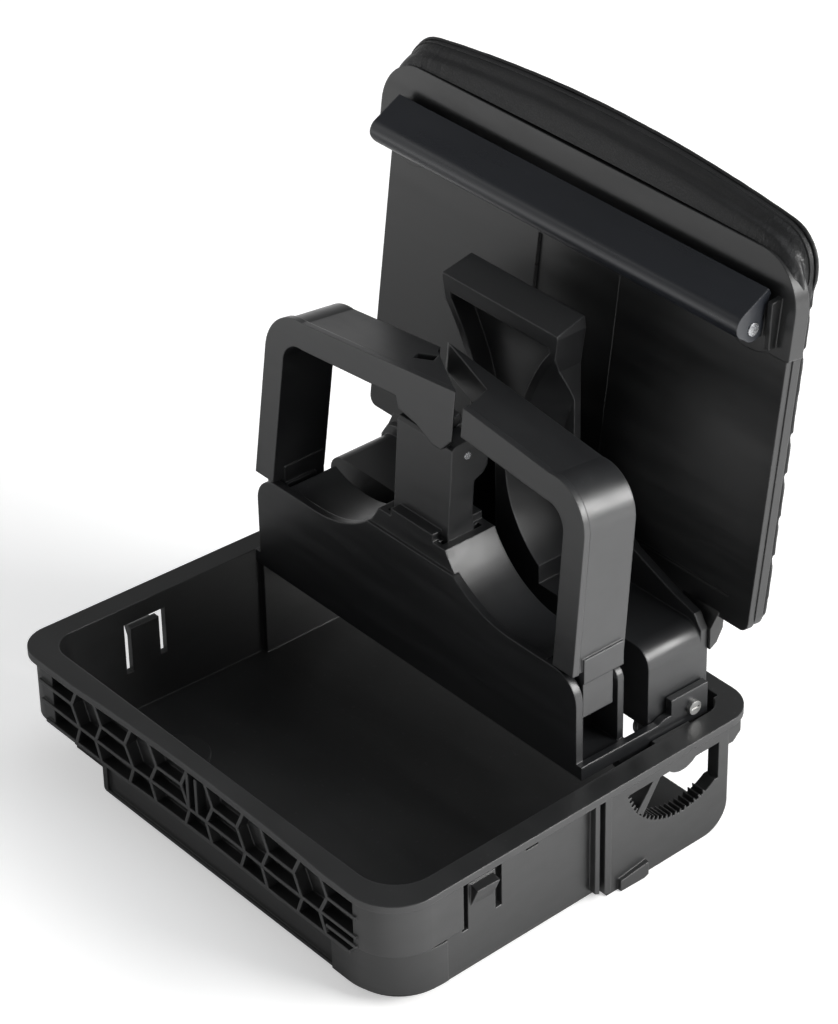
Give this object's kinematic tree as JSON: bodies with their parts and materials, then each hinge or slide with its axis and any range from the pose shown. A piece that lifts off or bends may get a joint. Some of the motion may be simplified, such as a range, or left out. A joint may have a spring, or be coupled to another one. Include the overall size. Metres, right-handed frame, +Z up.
{
  "type": "car cup holder",
  "caption": "Black fold-out car cup holder: open tray with honeycomb-ribbed front, two hinged ring arms, centre divider and an upright padded lid with a latch bar.",
  "frame": {"origin": "centre of the tray's flat underside", "axes": "+Z up out of the open tray, +X to the right along the hinge line, -Y towards the honeycomb-ribbed front wall, +Y towards the lid"},
  "size_m": [0.1698, 0.1607, 0.1919],
  "materials": {
    "tray_plastic": "fine grained moulded black",
    "frame_plastic": "smooth satin black",
    "arm_plastic": "satin black",
    "lid_plastic": "satin black",
    "bar_plastic": "smooth satin black with a blue cast",
    "cover_leather": "black grained cover over thin foam",
    "gear_plastic": "natural white",
    "spring_steel": "drawn wire",
    "pin_steel": "ground",
    "screw_steel": "zinc plated"
  },
  "bodies": {
    "tray": {"housing": "tray_plastic", "left_hinge_pin": "pin_steel", "right_hinge_pin": "pin_steel"},
    "holder": {"carrier": "frame_plastic", "rear_block": "frame_plastic", "left_arm_pin": "pin_steel", "right_arm_pin": "pin_steel", "left_arm_spring": "spring_steel", "right_arm_spring": "spring_steel", "catch_pin": "pin_steel", "catch_spring": "spring_steel", "lid_panel": "lid_plastic", "lid_shell": "frame_plastic", "lid_cover": "cover_leather", "latch_pin": "pin_steel", "latch_spring": "spring_steel", "left_hinge_spring": "spring_steel", "right_hinge_spring": "spring_steel", "damper_body": "frame_plastic", "lid_screws": "screw_steel", "block_screws": "screw_steel"},
    "left_ring_arm": {"left_arm": "arm_plastic"},
    "right_ring_arm": {"right_arm": "arm_plastic"},
    "catch": {"arm_catch": "arm_plastic"},
    "latch": {"latch_bar": "bar_plastic"},
    "damper_pinion": {"damper_gear": "gear_plastic"}
  },
  "joints": [
    {"name": "deploy", "type": "hinge", "parent": "tray", "child": "holder", "pos_m": [0, 0.043, 0.0365], "axis": [1, 0, 0], "range_deg": [0, 88], "stiffness_Nm_per_rad": 0.2, "springref_deg": -17.19},
    {"name": "damper_spin", "type": "hinge", "parent": "holder", "child": "damper_pinion", "pos_m": [-0.076, 0.02625, 0.0299], "axis": [1, 0, 0], "range_deg": [-530, 2]},
    {"name": "left_arm_swing", "type": "hinge", "parent": "holder", "child": "left_ring_arm", "pos_m": [-0.0635, 0.02, 0.061], "axis": [0, -1, 0], "range_deg": [0, 5], "stiffness_Nm_per_rad": 0.25, "springref_deg": -5.73},
    {"name": "right_arm_swing", "type": "hinge", "parent": "holder", "child": "right_ring_arm", "pos_m": [0.0635, 0.02, 0.061], "axis": [0, 1, 0], "range_deg": [0, 5], "stiffness_Nm_per_rad": 0.25, "springref_deg": -5.73},
    {"name": "catch_press", "type": "hinge", "parent": "holder", "child": "catch", "pos_m": [0, 0.0221, 0.1108], "axis": [1, 0, 0], "range_deg": [-6, 0], "stiffness_Nm_per_rad": 0.01, "springref_deg": 2.86},
    {"name": "latch_press", "type": "hinge", "parent": "holder", "child": "latch", "pos_m": [0, 0.0659, 0.1628], "axis": [1, 0, 0], "range_deg": [0, 7], "stiffness_Nm_per_rad": 0.06, "springref_deg": -11.46}
  ],
  "couplings": [
    {"joint": "damper_spin", "follows": "deploy", "ratio": -6}
  ]
}
